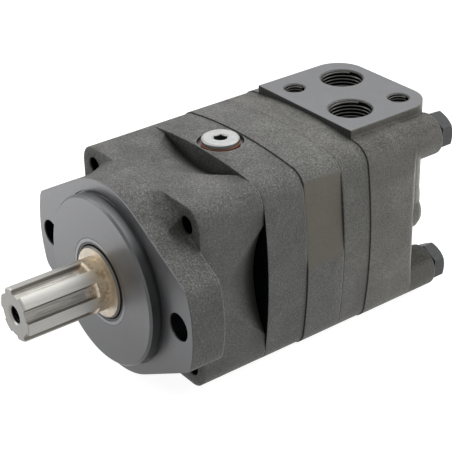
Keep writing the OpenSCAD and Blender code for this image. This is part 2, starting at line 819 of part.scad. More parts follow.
// One coil spring, swept along its helix
module coil_spring(length) {
    sides = 8;
    per_turn = 14;
    rings = spring_turns * per_turn;
    rise = (length - spring_wire) / rings;
    points = [for (i = [0:rings], j = [0:sides - 1])
        let (a = 360 * i / per_turn, b = 360 * j / sides,
            r = spring_r - spring_wire / 2 + spring_wire / 2 * cos(b))
        [r * cos(a), r * sin(a), spring_wire / 2 + i * rise + spring_wire / 2 * sin(b)]];
    walls = [for (i = [0:rings - 1], j = [0:sides - 1])
        let (n = (j + 1) % sides)
        [i * sides + j, (i + 1) * sides + j, (i + 1) * sides + n, i * sides + n]];
    first = [for (j = [0:sides - 1]) j];
    last = [for (j = [sides - 1:-1:0]) rings * sides + j];
    polyhedron(points = points, faces = concat(walls, [first, last]));
}

module balance_springs() {
    color("#7f8386") for (k = [0:spring_count - 1]) rotate([0, 360 * k / spring_count, 0])
        translate([0, balance2 + 0.05, spring_circle_r]) rotate([-90, 0, 0])
            coil_spring(spring_room - 0.1);
}

// A block with its two far corners rounded, seen from above
module rear_rounded(width, length, r) {
    translate([-width / 2, 0]) square([width, length - r]);
    translate([r - width / 2, 0]) square([width - 2 * r, length]);
    for (s = [-1, 1]) translate([s * (width / 2 - r), length - r]) circle(r = r);
}

module valve_body() {
    width = 2 * (side_w + valve_step);
    dome_end = joint4 + dome_len;
    boss_r = section_corner(valve_step);
    intersection() {
        section_block(joint4, joint4 + wide_len, valve_step);
        translate([0, joint4, -side_w - 5]) linear_extrude(height = 2 * side_w + 10)
            rear_rounded(width, wide_len, rear_round);
        rotate([0, 90, 0]) translate([0, joint4, -side_w - 5])
            linear_extrude(height = 2 * side_w + 10) rear_rounded(width, wide_len, rear_round);
    }
    at_ties() bore(joint4 + 1, joint4 + boss_len, boss_r);
    turned([[0, joint4 + 1], [dome_r, joint4 + 1], [dome_r, dome_end - 5],
        [dome_r - 1.5, dome_end - 1.5], [dome_r - 5, dome_end], [0, dome_end]]);
    translate([side_boss_x, 0, side_boss_z]) turned([[0, joint4 + 1], [side_boss_r, joint4 + 1],
        [side_boss_r, joint4 + wide_len - 1], [side_boss_r - 1.2, joint4 + wide_len + 1.6],
        [side_boss_r - 4, joint4 + wide_len + 3], [side_boss_r - 8, joint4 + wide_len + 3.4],
        [0, joint4 + wide_len + 3.4]]);
    translate([side_boss_x, joint4 + wide_len + ridge_out - ridge_r, side_boss_z])
        cylinder(r = ridge_r, h = tie_off - side_boss_z);
    translate([0, joint4, dome_r - 6]) linear_extrude(height = pad_z - dome_r + 6)
        rear_rounded(pad_w, valve_len, pad_round);
}

module threaded_hole(d, depth) {
    translate([0, 0, pad_z - depth]) cylinder(r = d / 2, h = depth + 1);
    translate([0, 0, pad_z - 0.8]) cylinder(r1 = d / 2, r2 = d / 2 + 1, h = 1);
}

// Drilling from the floor of a port down into a round chamber
module port_drill(x, y, r, room_r) {
    floor_z = sqrt(pow(room_r, 2) - pow(port_x + r, 2)) - 1;
    translate([x, y, floor_z]) cylinder(r = r, h = pad_z - port_depth + 1 - floor_z);
}

module valve_housing() {
    color("#56585a") difference() {
        valve_body();
        tie_holes(joint4, joint4 + boss_len);
        bore(joint4 - 1, joint4 + chamber_len, chamber_r);
        bore(joint4, balance_step, balance_r + slip);
        bore(joint4, chamber_end, balance_neck_r + slip);
        for (s = [-1, 1]) {
            translate([-s * port_x, pad_mid + s * port_y, 0]) threaded_hole(port_d, port_depth);
            translate([s * fix_x, pad_mid + s * fix_y, 0]) threaded_hole(fix_d, fix_depth);
        }
        at_ties() bore(joint4 + boss_len, joint4 + valve_len + 1,
            tie_head_af / 2 / cos(30) + head_room);
        port_drill(-port_x, pad_mid + port_y, rear_drill_r, balance_neck_r);
        port_drill(port_x, pad_mid - port_y, front_drill_r, chamber_r);
    }
}

module tie_bolt() {
    seat = joint4 + boss_len;
    shank_r = tie_d / 2 - 0.05;
    tip = flange_t + tie_short;
    head = seat + tie_neck_h;
    corner = tie_head_af / 2 / cos(30);
    turned([[0, tip], [shank_r - 1, tip], [shank_r, tip + 1], [shank_r, seat + 0.1],
        [tie_head_af / 2 - 0.6, seat + 0.1], [tie_head_af / 2 - 0.6, head], [0, head]]);
    intersection() {
        along_y(head) rotate([0, 0, 30]) cylinder(r = corner, h = tie_head_h, $fn = 6);
        turned([[0, head], [corner + 1, head], [corner + 0.1, head + tie_head_h - 1.2],
            [tie_head_af / 2 - 0.4, head + tie_head_h], [0, head + tie_head_h]]);
    }
}

module tie_bolts() {
    color("#3c3d3f") at_ties() tie_bolt();
}

module section_seal_1() { section_seal(joint1 - seal_cord, seal1_r); }
module section_seal_2() { section_seal(joint2 - seal_cord, seal_outer_r); }
module section_seal_3() { section_seal(joint3, seal_outer_r); }
module section_seal_4() { section_seal(joint4 - seal_cord, seal_outer_r); }

front_housing();
seal_case();
dust_seal();
shaft_seal();
seal_backup_ring();
front_bearing_cup();
front_bearing_cone();
front_bearing_cage();
front_bearing_rollers();
rear_bearing_cup();
rear_bearing_cone();
rear_bearing_cage();
rear_bearing_rollers();
bearing_shim();
output_shaft();
cardan_shaft();
link_spacer();
valve_link();
intermediate_housing();
drain_plug();
drain_washer();
roller_ring();
rotor();
gear_roller_1();
gear_roller_2();
gear_roller_3();
gear_roller_4();
gear_roller_5();
gear_roller_6();
gear_roller_7();
channel_plate();
disc_valve();
balance_plate();
balance_front_seal();
balance_rear_seal();
balance_springs();
valve_housing();
tie_bolts();
section_seal_1();
section_seal_2();
section_seal_3();
section_seal_4();
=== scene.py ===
import json
import math

import bpy
from mathutils import Matrix, Vector


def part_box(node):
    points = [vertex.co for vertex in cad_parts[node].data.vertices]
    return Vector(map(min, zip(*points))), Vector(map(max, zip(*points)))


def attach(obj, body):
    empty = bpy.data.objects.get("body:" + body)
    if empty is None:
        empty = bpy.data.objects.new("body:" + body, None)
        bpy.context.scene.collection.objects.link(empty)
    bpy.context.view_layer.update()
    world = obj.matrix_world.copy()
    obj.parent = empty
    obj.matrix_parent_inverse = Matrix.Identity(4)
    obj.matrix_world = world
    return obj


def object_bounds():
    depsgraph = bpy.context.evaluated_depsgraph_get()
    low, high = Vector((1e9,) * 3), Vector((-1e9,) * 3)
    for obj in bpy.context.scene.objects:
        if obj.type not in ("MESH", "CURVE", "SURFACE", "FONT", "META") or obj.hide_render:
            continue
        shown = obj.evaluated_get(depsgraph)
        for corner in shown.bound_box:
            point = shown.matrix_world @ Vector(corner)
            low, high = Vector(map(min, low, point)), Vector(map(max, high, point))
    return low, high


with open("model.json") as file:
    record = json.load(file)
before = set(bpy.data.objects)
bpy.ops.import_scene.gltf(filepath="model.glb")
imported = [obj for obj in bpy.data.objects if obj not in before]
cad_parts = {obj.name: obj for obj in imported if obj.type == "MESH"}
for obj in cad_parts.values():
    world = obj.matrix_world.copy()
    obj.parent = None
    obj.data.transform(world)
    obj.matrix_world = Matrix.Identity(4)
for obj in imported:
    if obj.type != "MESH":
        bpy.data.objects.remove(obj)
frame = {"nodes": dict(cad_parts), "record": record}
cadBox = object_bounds()
mm = 0.001
scene = bpy.context.scene
nodes = frame["nodes"]
mounts = {m["name"]: m for m in frame["record"]["mounts"]}
print("frame loaded:", len(nodes), "nodes")


# camera: the view of the photograph, found from the flange, the ports and the shaft

cameraView = {
    "azimuth": 53.66,
    "elevation": 29.29,
    "roll": -1.51,
    "distance": 627.8 * mm,
    "focalPixels": 1372.0,          # focal length counted in the picture's pixels
    "picture": 452,
    "origin": (111.27, 277.29),     # pixel on which the frame's origin falls
    "sensor": 36.0,
    "nearest": 0.01,
    "farthest": 20,
}


def placeCamera():
    v = cameraView
    a = math.radians(v["azimuth"])
    e = math.radians(v["elevation"])
    r = math.radians(v["roll"])
    back = Vector((math.sin(a) * math.cos(e), -math.cos(a) * math.cos(e), math.sin(e)))
    right = Vector((math.cos(a), math.sin(a), 0))
    up = back.cross(right)
    turnedRight = math.cos(r) * right + math.sin(r) * up
    turnedUp = math.cos(r) * up - math.sin(r) * right
    half = v["picture"] / 2
    across = (v["origin"][0] - half) * v["distance"] / v["focalPixels"]
    upward = -(v["origin"][1] - half) * v["distance"] / v["focalPixels"]
    data = bpy.data.cameras.new("photoCamera")
    data.sensor_width = v["sensor"]
    data.lens = v["focalPixels"] / v["picture"] * v["sensor"]
    data.clip_start = v["nearest"]
    data.clip_end = v["farthest"]
    camera = bpy.data.objects.new("photoCamera", data)
    scene.collection.objects.link(camera)
    camera.location = v["distance"] * back - across * turnedRight - upward * turnedUp
    camera.rotation_mode = "QUATERNION"
    turn = Matrix((turnedRight, turnedUp, back)).transposed()
    camera.rotation_quaternion = turn.to_quaternion()
    scene.camera = camera


placeCamera()
print("camera placed")


# sums on sockets, so that shader maths reads as Python

mixSockets = {                      # the Mix node's two inputs and its output, for each kind of data
    "RGBA": (6, 7, 2),
    "VECTOR": (4, 5, 1),
}


class Wire:
    def __init__(self, tree, socket=None):
        self.tree = tree
        self.socket = socket

    def node(self, kind, settings=None, sockets=None, out=0):
        made = self.tree.nodes.new("ShaderNode" + kind)
        for name, value in (settings or {}).items():
            if name == "stops":
                fillRamp(made.color_ramp, value)
            else:
                setattr(made, name, value)
        for name, value in (sockets or {}).items():
            plug = made.inputs[name]
            if isinstance(value, Wire):
                self.tree.links.new(value.socket, plug)
            else:
                plug.default_value = value
        return Wire(self.tree, made.outputs[out])

    def maths(self, operation, *values):
        return self.node("Math", {"operation": operation}, dict(enumerate(values)))

    def __add__(self, other):
        return self.maths("ADD", self, other)

    def __radd__(self, other):
        return self.maths("ADD", other, self)

    def __sub__(self, other):
        return self.maths("SUBTRACT", self, other)

    def __rsub__(self, other):
        return self.maths("SUBTRACT", other, self)

    def __mul__(self, other):
        return self.maths("MULTIPLY", self, other)

    def __rmul__(self, other):
        return self.maths("MULTIPLY", other, self)

    def __pow__(self, other):
        return self.maths("POWER", self, other)

    def __abs__(self):
        return self.maths("ABSOLUTE", self)

    def most(self, *others):                    # the largest of some masks
        top = self
        for other in others:
            top = top.maths("MAXIMUM", top, other)
        return top

    def dot(self, other):
        return self.node("VectorMath", {"operation": "DOT_PRODUCT"}, {0: self, 1: other}, "Value")

    def above(self, edge, soft):                # 0 below the edge, 1 above it
        return self.node("MapRange", {"interpolation_type": "SMOOTHSTEP"},
                         {"Value": self, "From Min": edge - soft, "From Max": edge + soft})

    def below(self, edge, soft):
        return 1 - self.above(edge, soft)

    def between(self, first, last):             # first where the mask is 0, last where it is 1
        return first + (last - first) * self


def fillRamp(ramp, stops):
    while len(ramp.elements) < len(stops):
        ramp.elements.new(1)
    for element, (place, colour) in zip(ramp.elements, stops):
        element.position = place
        element.color = (*colour, 1)


def either(factor, first, second, kind="RGBA"):     # first where factor is 0, second where it is 1
    one, other, out = mixSockets[kind]
    ends = [v if isinstance(v, Wire) else (*v, 1) for v in (first, second)]
    return factor.node("Mix", {"data_type": kind}, {0: factor, one: ends[0], other: ends[1]}, out)


def shaded(colour, share):
    return [share * v for v in colour]


def past(place, pair):                          # moves a mask's edge to the place it is counted from
    return place + pair[0], pair[1]


# what all finishes share

# in this dictionary and the next ones, two numbers for a mask are its edge and its softness,
# and three numbers for a texture are its size, detail and roughness
surface = {
    "rays": 6,                      # cast at each point for rounded edges and for corners
    "edge": (0.06, 0.05),           # how far a surface has to turn to count as an edge
}


class Finish:                                   # a new material with the inputs that all of them use
    def __init__(self, name):
        self.material = bpy.data.materials.new(name)
        self.material.use_nodes = True
        tree = self.material.node_tree
        self.shader = tree.nodes["Principled BSDF"]
        self.base = Wire(tree)
        self.place = self.base.node("TexCoord", out="Object")
        self.x, self.y, self.z = self.split(self.place)
        self.facing = self.base.node("NewGeometry", out="Normal")
        self.nx, self.ny, self.nz = self.split(self.facing)
        self.radius = (self.x * self.x + self.z * self.z) ** 0.5    # from the shaft's axis

    def split(self, vector):
        return [self.base.node("SeparateXYZ", None, {"Vector": vector}, k) for k in "XYZ"]

    def noise(self, size, detail, rough, stretch=(1, 1, 1)):
        spread = self.base.node("Mapping", None, {"Vector": self.place, "Scale": stretch})
        return self.base.node("TexNoise", None, {"Vector": spread, "Scale": 1 / size,
                                                 "Detail": detail, "Roughness": rough})

    def rounded(self, radius):
        return self.base.node("Bevel", {"samples": surface["rays"]}, {"Radius": radius})

    def edges(self, radius):                    # 1 along the corners that the radius would round
        return (1 - self.rounded(radius).dot(self.facing)).above(*surface["edge"])

    def corners(self, reach):                   # 1 where walls close in, where shade falls
        return 1 - self.base.node("AmbientOcclusion", {"samples": surface["rays"]},
                                  {"Distance": reach}, "AO")

    def bump(self, height, depth, normal):
        return self.base.node("Bump", None, {"Height": height, "Distance": depth, "Normal": normal,
                                             "Strength": 1.0})

    def use(self, **sockets):
        names = {"colour": "Base Color", "roughness": "Roughness", "metallic": "Metallic",
                 "specular": "Specular IOR Level", "normal": "Normal", "alpha": "Alpha",
                 "glow": "Emission Color", "glowing": "Emission Strength"}
        for name, value in sockets.items():
            plug = self.shader.inputs[names[name]]
            if isinstance(value, Wire):
                self.base.tree.links.new(value.socket, plug)
            elif name in ("colour", "glow"):
                plug.default_value = (*value, 1)
            else:
                plug.default_value = value
        return self.material


# cast iron with a dark phosphate skin, machined and smooth where the masks say

castIron = {
    "dark": (0.045, 0.0457, 0.0440),
    "light": (0.160, 0.159, 0.151),
    "fleck": (0.33, 0.33, 0.315),
    # painted shade: the colour put in corners, pockets and scoops and at the pad's foot
    "paintedShade": (0.014, 0.0145, 0.014),
    "seamDark": (0.012, 0.012, 0.012),
    # painted shade: near black inside holes and ports and on a shadowed joint face
    "shadowBlack": (0.003, 0.0038, 0.0042),
    "grain": (0.95 * mm, 3.0, 0.62),
    "pits": (0.42 * mm, 2.0, 0.6),
    "mottle": (14 * mm, 4.0, 0.6),
    "shares": (0.7, 0.45, 0.3),     # of grain, pits and mottle in the tone
    "toneSoft": 0.2,
    "depth": 0.36 * mm,
    "edgeRadius": 1.3 * mm,
    "specks": (0.7 * mm, 1.0, 0.5),
    "speckMottle": 0.25,
    "flecks": (0.8, 0.06),
    "fleckShare": 0.6,
    "wearAndHighlight": (0.48, 0.1),            # bare spots along the edges, which are also painted edge highlights
    "wearHighlightShare": 0.6,
    "wearHighlightFrom": (2 * mm, 0.5 * mm),     # edges nearer than this to a joint get neither wear nor painted highlight
    # how far and how strongly shade is painted into corners, and how strongly the shade masks paint it
    "cornerShadeReach": 7 * mm,
    "cornerShadeShare": 0.75,
    "maskShadeShare": 0.7,
    "sideways": (0.8, 0.15),        # the upright sides are smoother than the top
    "sideCalm": 0.45,
    "rough": (0.56, 0.7),
    "metal": (0.35, 0.85),
    "shine": 0.35,
    "seam": (0.19 * mm, 0.08 * mm),
}

machinedIron = {
    "dark": (0.122, 0.123, 0.127),
    "light": (0.165, 0.167, 0.172),
    "wallShade": (0.062, 0.063, 0.065),  # painted shade on rims and bores, which aren't faced, and low on the flange
    "padLightLift": 1.02,                # painted light: the pad's face is brighter than the flange's
    "swirl": (6 * mm, 5.0, 0.65),
    "ahead": (-0.7, 0.1),           # a face that looks ahead or up counts as faced
    "upward": (0.7, 0.1),
    "low": (-15 * mm, 20 * mm),     # painted shade: the flange is darker low down
    "lowShade": 0.4,
    "scratches": (0.25 * mm, 1.0, 0.5),
    "depth": 0.006 * mm,
    "edgeRadius": 0.35 * mm,
    "rough": (0.33, 0.43),
    "metal": 0.55,
}

labelFlat = {                       # the shallow flat that is left plain for a label
    "dark": (0.122, 0.111, 0.089),
    "light": (0.1464, 0.1332, 0.1068),
    "share": 0.72,
    "smooth": 0.7,
    "looksOut": 0.9,                # the flat's faces look to the right
    "leans": 0.005,                 # and lean at least this much along the motor
    "ragged": (6 * mm, 4.0, 0.6),
    "raggedBy": 9 * mm,
    "foot": (5.5 * mm, 0.9 * mm),   # from the flat's lower end
    "head": (0, 0.3 * mm),          # from its upper end
    "right": (0, 1 * mm),
}


def machinedSkin(f, lightLift):                      # colour, roughness and normal of a cut face
    c = machinedIron
    swirl = f.noise(*c["swirl"])
    faced = f.ny.below(*c["ahead"]).most(f.nz.above(*c["upward"]))
    # the lift brightens the pad's face: painted light
    colour = either(swirl, shaded(c["dark"], lightLift), shaded(c["light"], lightLift))
    # painted shade: darker low down, and on rims and bores
    colour = either(c["lowShade"] * f.z.below(*c["low"]), colour, c["wallShade"])
    colour = either(faced, c["wallShade"], colour)
    normal = f.bump(f.noise(*c["scratches"]), c["depth"], f.rounded(c["edgeRadius"]))
    return colour, swirl.between(*c["rough"]), normal


def castSkin(name, machined=None, seams=(), shadowBlack=None, label=None, paintedLightTint=(1, 1, 1),
             shadeMask=None, cutLightLift=1.0):
    c = castIron
    f = Finish(name)
    grain, pits, mottle = (f.noise(*c[texture]) for texture in ("grain", "pits", "mottle"))
    grainShare, pitShare, mottleShare = c["shares"]
    tone = grainShare * grain + pitShare * pits + mottleShare * mottle
    tone = tone.above(sum(c["shares"]) / 2, c["toneSoft"])
    # the tint makes the sections further back lighter, which is painted light
    dark, light = ([a * b for a, b in zip(c[shade], paintedLightTint)] for shade in ("dark", "light"))
    colour = either(tone, dark, light)

    flecks = c["fleckShare"] * (f.noise(*c["specks"]) + c["speckMottle"] * mottle).above(*c["flecks"])
    # bare spots and painted highlights along the edges, in the light fleck colour
    wearAndHighlight = c["wearHighlightShare"] * f.edges(c["edgeRadius"]) * pits.above(*c["wearAndHighlight"])
    for place, strength in seams:
        wearAndHighlight = wearAndHighlight * abs(f.y - place).above(*c["wearHighlightFrom"])
    colour = either(flecks.most(wearAndHighlight), colour, c["fleck"])

    # painted shade: darker where walls close in and where the shade mask says
    paintedShade = c["cornerShadeShare"] * f.corners(c["cornerShadeReach"])
    if shadeMask:
        paintedShade = paintedShade.most(c["maskShadeShare"] * shadeMask(f))
    colour = either(paintedShade, colour, c["paintedShade"])
    calm = c["sideCalm"] * abs(f.nx).above(*c["sideways"])
    colour = either(calm, colour, [(a + b) / 2 for a, b in zip(dark, light)])
    depth = c["depth"] * (1 - calm)
    if label:
        plain = label(f)
        flat = either(mottle, labelFlat["dark"], labelFlat["light"])
        colour = either(labelFlat["share"] * plain, colour, flat)
        depth = depth * (1 - labelFlat["smooth"] * plain)
    normal = f.bump(grain + pitShare * pits, depth, f.rounded(c["edgeRadius"]))
    rough = pits.between(*c["rough"])
    metal = paintedShade.between(*c["metal"])

    if machined:
        smooth = machined(f)
        cutColour, cutRough, cutNormal = machinedSkin(f, cutLightLift)
        colour = either(smooth, colour, cutColour)
        rough = smooth * cutRough + (1 - smooth) * rough
        metal = metal * (1 - smooth) + machinedIron["metal"] * smooth
        normal = either(smooth, normal, cutNormal, "VECTOR")
    for place, strength in seams:
        colour = either(strength(f) * abs(f.y - place).below(*c["seam"]), colour, c["seamDark"])
    # painted shade: near black where the mask says no light gets in
    if shadowBlack:
        inShadow = shadowBlack(f)
        colour = either(inShadow, colour, c["shadowBlack"])
        metal = metal.most(inShadow)
    return f.use(colour=colour, roughness=rough, specular=c["shine"], metallic=metal, normal=normal)


# where the front housing is machined, unlit or has painted shade

frontFaces = {
    "face": (0.35 * mm, 0.1 * mm),
    "hub": (41.9 * mm, 0.1 * mm),       # just outside the pilot
    "hubFoot": (1 * mm, 0.2 * mm),
    "bore": (33 * mm, 0.5 * mm),
}

lugs = {
    "front": 18.3 * mm,                 # face of the lugs behind the flange
    "mounting": (0.1 * mm, 0.05 * mm),  # from the mounting hole's own radius
    "mountingFrom": (0.6 * mm, 0.3 * mm),
    "tieHole": (5.1 * mm, 0.05 * mm),
    "pocket": (7.5 * mm, 5 * mm),       # painted shade round the tie bolts' axes
    "pocketShare": 0.8,
    "mountingTo": (0.6 * mm, 0.1 * mm),     # this and the rest are counted from the lugs' front
    "tieFrom": (0, 0.5 * mm),
    "pocketFrom": (-8 * mm, 2 * mm),
    "pocketTo": (2 * mm, 1.5 * mm),
}

scoops = {
    "sunk": (-2 * mm, 2 * mm),          # from the housing's outside
    "corner": (-15 * mm, 5 * mm),       # across it, so that the rounded corners stay free of painted shade
    "from": (-7 * mm, 7 * mm),          # from the first joint
    "sideSoft": 2 * mm,
    "share": (0.7, 1.0),                # on the top and bottom, and on the sides
    "joint": (0.1 * mm, 0.05 * mm),     # painted shade on the joint face that the scoops lay bare
    "jointSoft": 1 * mm,
    "jointShare": (0.35, 1.0),
}


def frontMask(f):                               # the flange's face, the pilot and its bore
    hub = f.radius.below(*frontFaces["hub"]) * f.y.below(*frontFaces["hubFoot"])
    return f.y.below(*frontFaces["face"]).most(hub, f.radius.below(*frontFaces["bore"]))


def fromTies(f):                                # distance from the nearest tie bolt's axis
    across = [v.co.x for v in nodes["tie_bolts"].data.vertices if v.co.x > 0]
    tieOff = (min(across) + max(across)) / 2
    return ((abs(f.x) - tieOff) ** 2 + (abs(f.z) - tieOff) ** 2) ** 0.5


def onSides(f, soft):                           # 1 on the left and right, 0 on the top and bottom
    return (abs(f.x) - abs(f.z)).above(0, soft)


def holesMask(f):                               # unlit inside the mounting holes and the tie bolts' holes
    mounting = mounts["flange_bolts"]["dims"]
    out = abs(f.x) - mounting["spacing_x_mm"] / 2 * mm
    reach = (out * out + f.z * f.z) ** 0.5
    inMounting = reach.below(*past(mounting["hole_r_mm"] * mm, lugs["mounting"]))
    inMounting = inMounting * f.y.above(*lugs["mountingFrom"])
    inMounting = inMounting * f.y.below(*past(lugs["front"], lugs["mountingTo"]))
    inTie = fromTies(f).below(*lugs["tieHole"]) * f.y.above(*past(lugs["front"], lugs["tieFrom"]))
    return inMounting.most(inTie)


def frontShadeMask(f):                                # painted shade in the lugs' pockets and far down in the scoops
    pocket = fromTies(f).below(*lugs["pocket"])
    pocket = pocket * f.y.above(*past(lugs["front"], lugs["pocketFrom"]))
    pocket = pocket * f.y.below(*past(lugs["front"], lugs["pocketTo"]))
    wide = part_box("intermediate_housing")[1].x
    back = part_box("front_housing")[1].y
    larger = abs(f.x).most(abs(f.z))
    smaller = abs(f.x) + abs(f.z) - larger
    scoop = larger.below(*past(wide, scoops["sunk"])) * smaller.below(*past(wide, scoops["corner"]))
    scoop = scoop * f.y.above(*past(back, scoops["from"]))
    scoop = scoop * onSides(f, scoops["sideSoft"]).between(*scoops["share"])
    return (lugs["pocketShare"] * pocket).most(scoop)


def jointShadeMask(f):                               # painted shade on the joint face that the front housing's scoops lay bare
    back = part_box("front_housing")[1].y
    share = onSides(f, scoops["jointSoft"]).between(*scoops["jointShare"])
    return f.y.below(*past(back, scoops["joint"])) * share


# where the sections behind it are machined, unlit or have painted shade

pad = {                                         # heights are counted from the pad's face
    "face": (-0.35 * mm, 0.1 * mm),
    "upward": (0.5, 0.1),
    "holeTop": (-0.9 * mm, 0.1 * mm),
    "holeEnd": (-18 * mm, 0.2 * mm),
    "holesAlong": (3 * mm, 1 * mm),     # inside both ends of the valve housing
    "holesAcross": (28 * mm, 1 * mm),
    # the next three place painted shadow at the pad's foot
    "foot": (-8 * mm, 1 * mm),
    "footAhead": (-0.4, 0.3),
    "footShare": 0.7,
    "footShade": (-2.5 * mm, 2.5 * mm),     # painted shadow of the pad on the channel plate, from its rear end
    "footShadeFrom": (38 * mm, 3 * mm),
    "footShadeShare": 0.55,
}

rearEnd = {
    "boss": (-26 * mm, 1 * mm),         # from the bolt heads' ends
    "bossLow": (-20 * mm, 4 * mm),
    "cornerOut": (24 * mm, 8 * mm),     # painted shade on the corner of the valve housing below the pad
    "cornerUp": (26 * mm, 6 * mm),
    "cornerTo": (-4 * mm, 1 * mm),      # from the pad's face
    "cornerShare": 0.4,
}

drainSpot = {
    "radius": (11.6 * mm, 0.1 * mm),
    "upward": (0.97, 0.02),
}

joints = {
    "front": 0.75,                      # how dark each joint's line is
    "middle": 0.45,
    "rear": 0.6,
    "low": (18 * mm, 16 * mm),          # the middle one shows on the lower part of the sides alone
}


def portShadeMask(f):                                # painted shade on the walls of the threaded holes in the pad
    low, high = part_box("valve_housing")
    inset, soft = pad["holesAlong"]
    depth = f.z.below(*past(high.z, pad["holeTop"])) * f.z.above(*past(high.z, pad["holeEnd"]))
    along = f.y.above(low.y + inset, soft) * f.y.below(high.y - inset, soft)
    return depth * along * abs(f.x).below(*pad["holesAcross"])


def padMask(f):                                 # the pad's milled face
    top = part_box("valve_housing")[1].z
    return f.z.above(*past(top, pad["face"])) * f.nz.above(*pad["upward"])


def rearShadeMask(f):                                # painted shade on the lower bosses, at the pad's foot and on a corner
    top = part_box("valve_housing")[1].z
    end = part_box("tie_bolts")[1].y
    boss = f.y.above(*past(end, rearEnd["boss"])) * f.z.below(*rearEnd["bossLow"])
    foot = f.ny.below(*pad["footAhead"]) * f.z.above(*past(top, pad["foot"]))
    corner = f.x.above(*rearEnd["cornerOut"]) * f.z.above(*rearEnd["cornerUp"])
    corner = corner * f.z.below(*past(top, rearEnd["cornerTo"]))
    return boss.most(pad["footShare"] * foot, rearEnd["cornerShare"] * corner)


def plateShadeMask(f):                               # painted shadow along the foot of the pad
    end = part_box("channel_plate")[1].y
    return pad["footShadeShare"] * f.y.above(*past(end, pad["footShade"])) * f.z.above(*pad["footShadeFrom"])


def fromPlug(f):                                # distance from the drain plug's axis
    low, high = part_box("drain_plug")
    away = f.y - (low.y + high.y) / 2
    return (f.x * f.x + away * away) ** 0.5


def spotMask(f):                                # the spot face round the drain plug
    return fromPlug(f).below(*drainSpot["radius"]) * f.nz.above(*drainSpot["upward"])


def labelMask(f):                               # the flat, with a ragged lower end
    ring = nodes["roller_ring"].data
    faces = [p for p in ring.polygons
             if p.normal.x > labelFlat["looksOut"] and abs(p.normal.y) > labelFlat["leans"]]
    heights = [ring.vertices[k].co.z for p in faces for k in p.vertices]
    ragged = labelFlat["raggedBy"] * f.noise(*labelFlat["ragged"])
    within = (f.z + ragged).above(*past(min(heights), labelFlat["foot"]))
    within = within * f.z.below(*past(max(heights), labelFlat["head"]))
    return within * f.x.above(*labelFlat["right"])


def allRound(strength):
    return lambda f: strength


def lowDown(strength):
    return lambda f: f.z.below(*joints["low"]) * strength


# turned steel, copper and cut threads, with rings round the motor's axis

turnedFace = {
    "rings": (0.09 * mm, 2.0, 0.6),
    "stretch": (0.02, 1, 0.02),         # draws the texture out into rings
    "cloud": (5 * mm, 3.0, 0.6),
    "dark": 0.82,
    "rough": (0.75, 1.25),
    "depth": 0.002 * mm,
    "edgeRadius": 0.3 * mm,
    "pressed": (-0.25 * mm, 0.05 * mm),     # a dark line where the piece is pressed in
    "line": (0.02, 0.02, 0.02),
    "washerRing": 0.3 * mm,
}


def turnedSteel(name, colour, roughness, ring=None, outside=None):
    c = turnedFace
    f = Finish(name)
    size, detail, rough = c["rings"]
    rings = f.noise(ring or size, detail, rough, c["stretch"])
    shade = either(f.noise(*c["cloud"]), shaded(colour, c["dark"]), colour)
    if outside:
        shade = either(f.radius.above(*past(outside, c["pressed"])), shade, c["line"])
    return f.use(colour=shade, metallic=1.0, roughness=roughness * rings.between(*c["rough"]),
                 normal=f.bump(rings, c["depth"], f.rounded(c["edgeRadius"])))


# the shaft: bright crests, darker grooves and a straw-coloured collar

shaftSteel = {
    "bright": (0.42, 0.414, 0.396),
    "dull": (0.37, 0.36, 0.335),
    "groove": (0.12, 0.108, 0.09),
    "face": (0.27, 0.266, 0.255),
    "stain": (0.34, 0.215, 0.095),
    "straw": (0.68, 0.56, 0.39),
    "cream": (0.37, 0.335, 0.285),
    "brown": (0.12, 0.08, 0.048),
    "rim": (0.10, 0.095, 0.085),
    # painted shade inside the threaded hole in the shaft's end
    "holeShade": (0.01, 0.01, 0.01),
    "streaks": (0.45 * mm, 3.0, 0.65),
    "stretch": (1, 0.03, 1),            # draws the streaks out along the shaft
    "cloud": (5 * mm, 3.0, 0.6),
    "specks": (2 * mm, 3.0, 0.6),
    "dullSide": (0.5, 0.2),
    "rough": (0.35, 0.51),
    "endRough": 0.1,
    "depth": 0.02 * mm,
    "edgeRadius": 0.3 * mm,
}

shaftPlaces = {
    "collarRadius": 14 * mm,            # nothing ahead of the collar is as wide
    "collarWithin": 1 * mm,
    "grooveEnd": -6.5 * mm,             # from the collar
    "grooveSoft": (0, 1 * mm),
    "groove": (12.2 * mm, 0.15 * mm),   # radius that a groove's flanks reach
    "grooveFloor": (10.9 * mm, 0.1 * mm),
    "notAhead": (-0.7, 0.1),
    "strawFrom": (-1 * mm, 5 * mm),     # from the groove's end, as the next three
    "stainFrom": (-1 * mm, 3 * mm),
    "brownFrom": (-5 * mm, 3 * mm),
    "brownTo": (1.5 * mm, 0.8 * mm),
    "brown": (12 * mm, 0.2 * mm),
    "stainTo": (-0.5 * mm, 1.5 * mm),   # from the collar, as the next one
    "disc": (-0.4 * mm, 0.3 * mm),
    "rim": (-0.9 * mm, 0.25 * mm),      # from the collar's outside
    "end": (0.2 * mm, 0.1 * mm),        # from the shaft's front end
    "holeFrom": (0.7 * mm, 0.3 * mm),
    "hole": (4.4 * mm, 0.05 * mm),
}

shaftShares = {
    "grooveDark": (0.25, 0.85),              # on a groove's floor and on its flanks
    "grooveDarkStreaks": (0.5, 0.07),
    "streakGrooveDark": 0.4,
    "straw": 0.8,
    "stain": 0.6,
    "stainSpots": (0.53, 0.06),
    "brown": 0.8,
    "brownSpots": (0.45, 0.1),
    "cream": (0.55, 1.0),
    "creamSpots": (0.48, 0.08),
}


